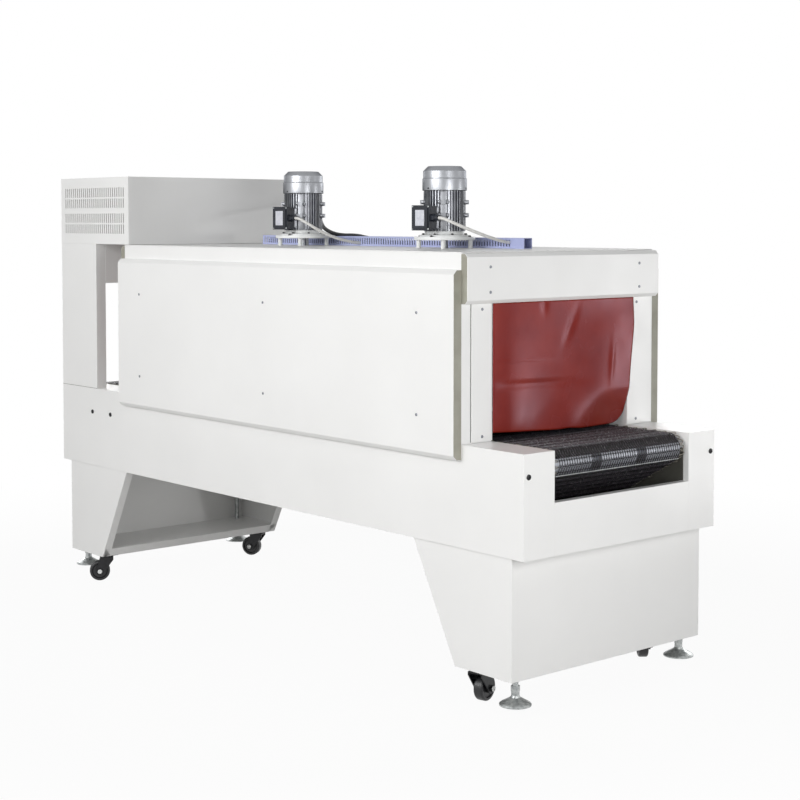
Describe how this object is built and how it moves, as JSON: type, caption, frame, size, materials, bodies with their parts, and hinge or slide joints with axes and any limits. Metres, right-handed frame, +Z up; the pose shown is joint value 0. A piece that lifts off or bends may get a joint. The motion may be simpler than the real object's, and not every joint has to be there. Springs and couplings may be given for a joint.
{
  "type": "heat shrink tunnel",
  "caption": "Heat shrink tunnel on castors: insulated tunnel with red curtains over a mesh belt conveyor, blower motors on the roof and a louvred control box on a portal.",
  "frame": {"origin": "on the floor under the middle of the bed", "axes": "+X along the belt towards the exit, +Z up, -Y towards the front"},
  "size_m": [2.5, 0.86, 1.524],
  "materials": {
    "cream_paint": "powder-coated sheet steel, satin",
    "mesh_steel": "dark steel wire mesh",
    "bare_steel": "turned steel",
    "red_silicone": "glossy silicone sheet",
    "cast_aluminium": "cast and lightly painted",
    "cowl_aluminium": "pressed and satin finished",
    "black_plastic": "moulded",
    "grey_sheath": "cable sheath",
    "black_sheath": "cable sheath",
    "duct_plastic": "extruded plastic",
    "castor_steel": "black coated pressed steel",
    "castor_tread": "moulded tyre",
    "zinc_steel": "zinc plated"
  },
  "bodies": {
    "frame": {"bed_front_side": "cream_paint", "bed_rear_side": "cream_paint", "bed_pan": "cream_paint", "conveyor_belt": "mesh_steel", "belt_drums": "bare_steel", "exit_leg_front": "cream_paint", "exit_leg_rear": "cream_paint", "exit_leg_end": "cream_paint", "exit_leg_shelf": "cream_paint", "infeed_leg_front": "cream_paint", "infeed_leg_rear": "cream_paint", "infeed_leg_end": "cream_paint", "infeed_leg_shelf": "cream_paint", "tunnel_front_wall": "cream_paint", "tunnel_rear_wall": "cream_paint", "tunnel_roof": "cream_paint", "front_heat_shield": "cream_paint", "rear_heat_shield": "cream_paint", "exit_hood": "cream_paint", "infeed_hood": "cream_paint", "exit_posts": "cream_paint", "infeed_posts": "cream_paint", "exit_curtain": "red_silicone", "infeed_curtain": "red_silicone", "portal_front_column": "cream_paint", "portal_rear_column": "cream_paint", "portal_lintel": "cream_paint", "control_box": "cream_paint", "louvre_panel_front": "cream_paint", "louvre_panel_rear": "cream_paint", "motor_1_plate": "bare_steel", "motor_1_casing": "cast_aluminium", "motor_1_cowl": "cowl_aluminium", "motor_1_terminal_box": "black_plastic", "motor_2_plate": "bare_steel", "motor_2_casing": "cast_aluminium", "motor_2_cowl": "cowl_aluminium", "motor_2_terminal_box": "black_plastic", "motor_1_lead": "grey_sheath", "motor_2_lead": "grey_sheath", "wiring_duct": "duct_plastic", "control_conduit": "black_sheath", "castor_plates": "castor_steel", "levelling_feet": "zinc_steel"},
    "infeed_front_castor": {"infeed_front_fork": "castor_steel"},
    "infeed_front_castor_wheel": {"infeed_front_wheel": "castor_tread"},
    "infeed_rear_castor": {"infeed_rear_fork": "castor_steel"},
    "infeed_rear_castor_wheel": {"infeed_rear_wheel": "castor_tread"},
    "exit_front_castor": {"exit_front_fork": "castor_steel"},
    "exit_front_castor_wheel": {"exit_front_wheel": "castor_tread"},
    "exit_rear_castor": {"exit_rear_fork": "castor_steel"},
    "exit_rear_castor_wheel": {"exit_rear_wheel": "castor_tread"}
  },
  "joints": [
    {"name": "infeed_front_swivel", "type": "hinge", "parent": "frame", "child": "infeed_front_castor", "pos_m": [-1.025, -0.348, 0.088], "axis": [0, 0, 1], "continuous": true},
    {"name": "infeed_front_roll", "type": "hinge", "parent": "infeed_front_castor", "child": "infeed_front_castor_wheel", "pos_m": [-1.0375, -0.36965, 0.0375], "axis": [0.866, -0.5, 0], "continuous": true},
    {"name": "infeed_rear_swivel", "type": "hinge", "parent": "frame", "child": "infeed_rear_castor", "pos_m": [-1.025, 0.348, 0.088], "axis": [0, 0, 1], "continuous": true},
    {"name": "infeed_rear_roll", "type": "hinge", "parent": "infeed_rear_castor", "child": "infeed_rear_castor_wheel", "pos_m": [-1.04573, 0.33402, 0.0375], "axis": [0.5592, -0.829, 0], "continuous": true},
    {"name": "exit_front_swivel", "type": "hinge", "parent": "frame", "child": "exit_front_castor", "pos_m": [1.025, -0.348, 0.088], "axis": [0, 0, 1], "continuous": true},
    {"name": "exit_front_roll", "type": "hinge", "parent": "exit_front_castor", "child": "exit_front_castor_wheel", "pos_m": [1.01895, -0.32374, 0.0375], "axis": [-0.9703, -0.2419, 0], "continuous": true},
    {"name": "exit_rear_swivel", "type": "hinge", "parent": "frame", "child": "exit_rear_castor", "pos_m": [1.025, 0.348, 0.088], "axis": [0, 0, 1], "continuous": true},
    {"name": "exit_rear_roll", "type": "hinge", "parent": "exit_rear_castor", "child": "exit_rear_castor_wheel", "pos_m": [1.00585, 0.36407, 0.0375], "axis": [-0.6428, -0.766, 0], "continuous": true}
  ]
}
